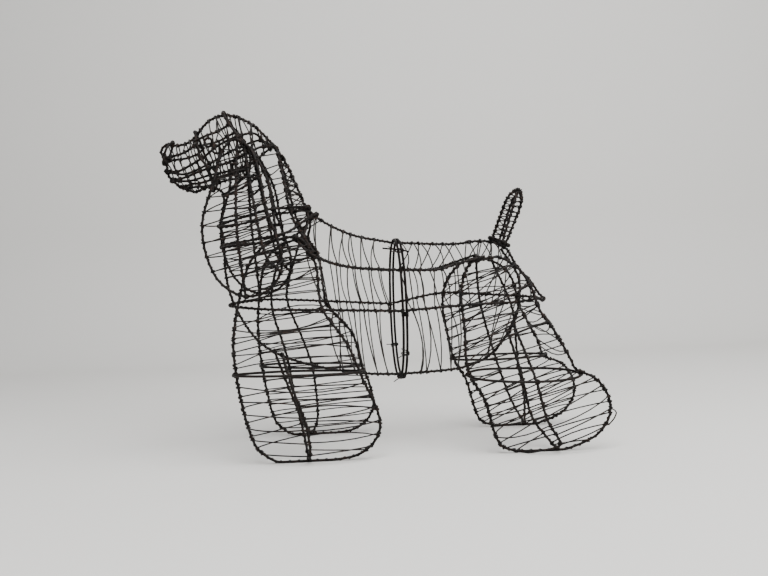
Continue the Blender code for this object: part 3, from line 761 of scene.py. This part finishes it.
def body_rear():
    """Upright strands behind the waist, and the wire of the hips, the rump and the thighs' rear lines."""

    def flank(word, side):
        return [
            Rail("rear_upper_rod_" + word, (0.036, side * 0.07, 0.271), (0.150, side * 0.056, 0.285)),
            Rail("rear_side_loop", (0.036, side * 0.084, 0.211), (0.140, side * 0.074, 0.22)),
        ]

    def rump_side(word, side):
        return [Rail("rear_side_loop", (0.16, side * 0.07, 0.22), (0.25, side * 0.012, 0.219))]

    def hip(word, side):
        top = Rail("hind_leg_loop_" + word, (0.140, side * 0.055, 0.275), (0.205, side * 0.06, 0.262),
                   (0.17, side * 0.05, 0.285))
        spine = Rail("rear_back_rod", (0.135, 0, 0.308), (0.205, 0, 0.29))
        return wound(rounds([spine, top], leaning(0.0), 0.143, 0.202, HIP_STEP, [0.0, 0.3], turns=2), 0.03)

    back = Rail("rear_back_rod", (0.036, 0, 0.312), (0.170, 0, 0.306))
    belly = Rail("rear_belly_rod", (0.036, 0, 0.109), (0.13, 0, 0.12))
    offsets = [0.0, 0.5, 0.55, 0.6, 0.35, 0.15]
    rails = girth(back, belly, flank)
    contacts = rounds(rails, leaning(0.06), 0.052, 0.158, FLANK_STEP, offsets, jitter=0.5)
    rump_top = Rail("rear_back_rod", (0.165, 0, 0.30), (0.256, 0, 0.217))
    rump_low = Rail("rear_belly_rod", (0.15, 0, 0.15), (0.218, 0, 0.245))
    rump = rounds(girth(rump_top, rump_low, rump_side), RUMP_SLOPE, 0.075, 0.165, RUMP_STEP,
                  [0.0, 0.2, 0.4, 0.6], jitter=0.5)
    rear_lines = [Rail("hind_leg_loop_" + word, (0.29, side * 0.09, 0.12), (0.205, side * 0.07, 0.25),
                       (0.24, side * 0.08, 0.2)) for word, side in SIDES]
    thighs = rounds(rear_lines, UP, 0.245, 0.118, THIGH_LINE_STEP, [0.0, 0.5], turns=2)
    hips = [hip(word, side) for word, side in SIDES]
    lace("rear_body_lacing",
         [wound(contacts, 0.025, sway=0.045), wound(rump, 0.03), wound(thighs, 0.05)] + hips)


body_rear()


# Hind legs

def hind_leg(word, side):
    """Strands round the foot and the thigh of one hind leg, and the loose wire at the near toe."""
    y = LEG_OUT * side
    name = "hind_leg_loop_" + word
    cross = "hind_leg_cross_loop_" + word
    front = Rail(name, (0.195, y, 0.0), (0.125, y, 0.122), (0.14, y, 0.06))
    rear = Rail(name, (0.255, y, 0.0), (0.28, y, 0.118), (0.32, y, 0.06))
    inner = Rail(cross, (0.24, y, 0.006), (0.205, y * 0.66, 0.10), (0.215, y * 0.66, 0.05))
    outer = Rail(cross, (0.24, y, 0.006), (0.215, y * 1.36, 0.10), (0.23, y * 1.36, 0.05))
    circuit = [front, front, outer, rear, rear, inner]
    foot = rounds(circuit, tilted(17), 0.075, -0.10, HIND_FOOT_STEP, [-0.35, 0.0, 0.05, -0.1, 0.2, 0.3],
                  turns=1, jitter=0.2)
    high_front = Rail(name, (0.125, y, 0.122), (0.150, y * 0.6, 0.282), (0.11, y * 0.7, 0.2))
    high_rear = Rail(name, (0.30, y, 0.118), (0.180, y * 0.6, 0.285), (0.24, y * 0.8, 0.2))
    thigh = []
    for slope, start, offset in ((11, 0.245, -0.3), (13, 0.225, 0.35)):
        contacts = rounds([high_front, high_rear], tilted(slope), start, 0.05, THIGH_STEP, [0.0, offset],
                          turns=2)
        thigh.append(wound(contacts, 0.06))
    loose = [(0.3245, y, 0.058), (0.331, y, 0.056), (0.334, y, 0.052), (0.331, y, 0.044), (0.322, y, 0.034)]
    toe = [smoothed([Vector(point) for point in loose], False, 0.002)] if side < 0 else []
    lace("hind_leg_lacing_" + word, [wound(foot, 0.07)] + thigh + toe)


for word, side in SIDES:
    hind_leg(word, side)


# Tail

def tail():
    """Close rungs up the tail and the coil at its tip."""
    front = Rail("tail_loop", (0.182, 0, 0.316), (0.222, 0, 0.388), (0.2, 0, 0.36))
    rear = Rail("tail_loop", (0.208, 0, 0.305), (0.222, 0, 0.388), (0.225, 0, 0.36))
    near = Rail("tail_cross_loop", (0.194, -0.014, 0.307), (0.216, -0.012, 0.372))
    far = Rail("tail_cross_loop", (0.194, 0.014, 0.307), (0.216, 0.012, 0.372))
    rungs = rounds([front, near, rear, far], tilted(-14), 0.352, 0.44, TAIL_STEP, [0.0, 0.25, 0.5, 0.75])
    tip = rope("tail_loop", TAIL_TIP_STEP, (0.214, 0, 0.384), (0.228, 0, 0.374))
    lace("tail_lacing", [wound(rungs, 0.02), tip])


tail()


# Neck, between the throat and the nape

def neck():
    """Strands from the throat to the nape, and the short ones between the nape and the neck's rear rods."""

    def flank(word, side):
        return [
            Rail("neck_front_rod_" + word, (-0.178, side * 0.042, 0.45), (-0.148, side * 0.058, 0.326)),
            rear(word, side),
            Rail("front_leg_loop_" + word, (-0.12, side * 0.055, 0.322), (-0.09, side * 0.075, 0.24)),
        ]

    def rear(word, side):
        return Rail("neck_rear_rod_" + word, (-0.147, side * 0.01, 0.458), (-0.096, side * 0.055, 0.302))

    throat = Rail("front_belly_rod", (-0.232, 0, 0.39), (-0.226, 0, 0.232))
    nape = Rail("front_back_rod", (-0.150, 0, 0.465), (-0.095, 0, 0.335))
    offsets = [0.0, 0.0, -0.1, 0.0, 0.4, 0.6, 0.7, 0.9]
    contacts = rounds(girth(throat, nape, flank), tilted(9), 0.47, 0.262, NECK_STEP, offsets)
    panels = [wound(rounds([nape, rear(word, side)], tilted(2), 0.455, 0.345, NAPE_STEP, [0.0, 0.6]), 0.02)
              for word, side in SIDES]
    lace("neck_lacing", [wound(contacts, 0.03)] + panels)


neck()


# Ears

def ear(word, side):
    """Strands across one ear, there and back over its ribs."""
    y = EAR_OUT * side
    front = Rail("ear_loop_" + word, (-0.222, y * 0.64, 0.455), (-0.2, y, 0.241), (-0.252, y, 0.35))
    rear = Rail("ear_loop_" + word, (-0.183, y * 0.64, 0.457), (-0.19, y, 0.241), (-0.141, y, 0.3))
    front_rib = Rail("ear_front_rib_" + word, (-0.202, y * 0.6, 0.474), (-0.195, y, 0.241))
    rear_rib = Rail("ear_rear_rib_" + word, (-0.193, y * 0.6, 0.469), (-0.144, y, 0.276))
    rails = [front, front_rib, rear_rib, rear, rear_rib, front_rib]
    contacts = rounds(rails, tilted(7), 0.478, 0.265, EAR_STEP, [0.0, 0.02, -0.02, 0.0, 0.3, 0.6])
    lace("ear_lacing_" + word, [wound(contacts, 0.03)])


for word, side in SIDES:
    ear(word, side)


# Muzzle and skull

def muzzle():
    """Strands round the muzzle."""

    def flank(word, side):
        return [
            Rail("muzzle_rod_" + word, (-0.315, side * 0.016, 0.452), (-0.266, side * 0.026, 0.47)),
            Rail("face_rod_" + word, (-0.314, side * 0.01, 0.433), (-0.25, side * 0.033, 0.452)),
            Rail("cheek_rod_" + word, (-0.306, side * 0.01, 0.421), (-0.24, side * 0.034, 0.434)),
            Rail("jaw_rod_" + word, (-0.29, side * 0.01, 0.409), (-0.235, side * 0.032, 0.42)),
        ]

    top = Rail("front_back_rod", (-0.318, 0, 0.474), (-0.262, 0, 0.492))
    chin = Rail("front_belly_rod", (-0.312, 0, 0.425), (-0.238, 0, 0.405))
    rails = girth(top, chin, flank)
    offsets = [0.09 * k for k in range(len(rails))]
    contacts = rounds(rails, leaning(0.3), -0.170, -0.092, MUZZLE_STEP, offsets)
    lace("muzzle_lacing", [wound(contacts, 0.02)])


muzzle()


def skull():
    """Two wires round the skull, wound opposite ways."""

    def flank(word, side):
        return [
            Rail("brow_rod_" + word, (-0.268, side * 0.022, 0.476), (-0.217, side * 0.031, 0.497)),
            Rail("face_rod_" + word, (-0.245, side * 0.034, 0.456), (-0.17, side * 0.02, 0.48)),
            Rail("cheek_rod_" + word, (-0.238, side * 0.034, 0.436), (-0.165, side * 0.02, 0.466)),
            Rail("jaw_rod_" + word, (-0.232, side * 0.032, 0.42), (-0.193, side * 0.038, 0.428)),
        ]

    top = Rail("front_back_rod", (-0.258, 0, 0.496), (-0.158, 0, 0.485))
    chin = Rail("front_belly_rod", (-0.238, 0, 0.405), (-0.232, 0, 0.38))
    rails = girth(top, chin, flank)
    paths = []
    for way_round, step, lag in ((rails, SKULL_STEPS[0], 0.12), (rails[::-1], SKULL_STEPS[1], 0.1)):
        offsets = [lag * k for k in range(len(rails))]
        paths.append(rounds(way_round, leaning(0.15), -0.172, -0.080, step, offsets, jitter=0.6))
    lace("skull_lacing", [wound(contacts, 0.02) for contacts in paths])


skull()


# Floor and back wall

PAPER_SIDE = 4.0
PAPER_FRONT = -3.0
PAPER_BEND = 1.15
BEND_RADIUS = 0.45
WALL_RISE = 2.2


def studio():
    """A pale paper sweep: floor, bend and back wall in one sheet."""
    sweep = bmesh.new()
    near, far = [[sweep.verts.new((x, y, 0.0)) for y in (PAPER_FRONT, PAPER_BEND)]
                 for x in (-PAPER_SIDE, PAPER_SIDE)]
    sweep.faces.new((near[0], far[0], far[1], near[1]))
    back = [edge for edge in sweep.edges if all(abs(v.co.y - PAPER_BEND) < 1e-6 for v in edge.verts)]
    bmesh.ops.spin(sweep, geom=back, cent=(0, PAPER_BEND, BEND_RADIUS), axis=(1, 0, 0),
                   angle=math.radians(90), steps=14, use_duplicate=False)
    top = [edge for edge in sweep.edges if all(abs(v.co.z - BEND_RADIUS) < 1e-4 for v in edge.verts)]
    raised = bmesh.ops.extrude_edge_only(sweep, edges=top)["geom"]
    rim = [part for part in raised if isinstance(part, bmesh.types.BMVert)]
    bmesh.ops.translate(sweep, vec=UP * WALL_RISE, verts=rim)
    bmesh.ops.recalc_face_normals(sweep, faces=sweep.faces)
    shape = bpy.data.meshes.new("paper_sweep")
    sweep.to_mesh(shape)
    sweep.free()
    shape.polygons.foreach_set("use_smooth", [True] * len(shape.polygons))
    paper = Finish("pale_paper")
    paper.shader.inputs["Base Color"].default_value = (0.62, 0.61, 0.585, 1)
    paper.shader.inputs["Roughness"].default_value = 0.95
    shape.materials.append(paper.material)
    floor = bpy.data.objects.new("paper_sweep", shape)
    bpy.context.scene.collection.objects.link(floor)


studio()


# Lights

def lamp(name, place, target, size, power):
    """A soft rectangular lamp at a place, facing a target."""
    data = bpy.data.lights.new(name, "AREA")
    data.shape = "RECTANGLE"
    data.size, data.size_y = size
    data.energy = power
    light = bpy.data.objects.new(name, data)
    light.location = place
    way = Vector(target) - Vector(place)
    light.rotation_euler = way.to_track_quat("-Z", "Y").to_euler()
    bpy.context.scene.collection.objects.link(light)


lamp("overhead_softbox", (0.4, -1.0, 2.3), (0.1, -0.3, 0.0), (2.6, 2.0), 125)
lamp("front_softbox", (1.8, -2.2, 1.6), (0.1, 0.6, 0.3), (1.6, 1.6), 66)
lamp("left_softbox", (-2.2, -1.6, 1.4), (0.0, 0.2, 0.2), (1.4, 1.4), 5)

world = bpy.data.worlds.new("studio_air")
world.use_nodes = True
world.node_tree.nodes["Background"].inputs["Color"].default_value = (0.93, 0.95, 1.0, 1)
world.node_tree.nodes["Background"].inputs["Strength"].default_value = 0.35
bpy.context.scene.world = world

# Camera

YAW = math.radians(1.7)
PITCH = math.radians(1.3)
ROLL = math.radians(2.2)
CAMERA_PLACE = (-0.0290, -1.240, 0.271)
LENS = 37.5
SENSOR_WIDTH = 36.0


def photo_camera():
    """The camera at the photo's angle: turned, tipped down and rolled a little."""
    ahead = Vector((math.sin(YAW) * math.cos(PITCH), math.cos(YAW) * math.cos(PITCH), -math.sin(PITCH)))
    right = Vector((math.cos(YAW), -math.sin(YAW), 0.0))
    above = right.cross(ahead)
    across = math.cos(ROLL) * right - math.sin(ROLL) * above
    upward = math.sin(ROLL) * right + math.cos(ROLL) * above
    turn = Matrix((across, upward, -ahead)).transposed()
    data = bpy.data.cameras.new("photo_camera")
    data.lens = LENS
    data.sensor_width = SENSOR_WIDTH
    camera = bpy.data.objects.new("photo_camera", data)
    camera.matrix_world = Matrix.Translation(CAMERA_PLACE) @ turn.to_4x4()
    bpy.context.scene.collection.objects.link(camera)
    bpy.context.scene.camera = camera


photo_camera()
bpy.context.view_layer.update()
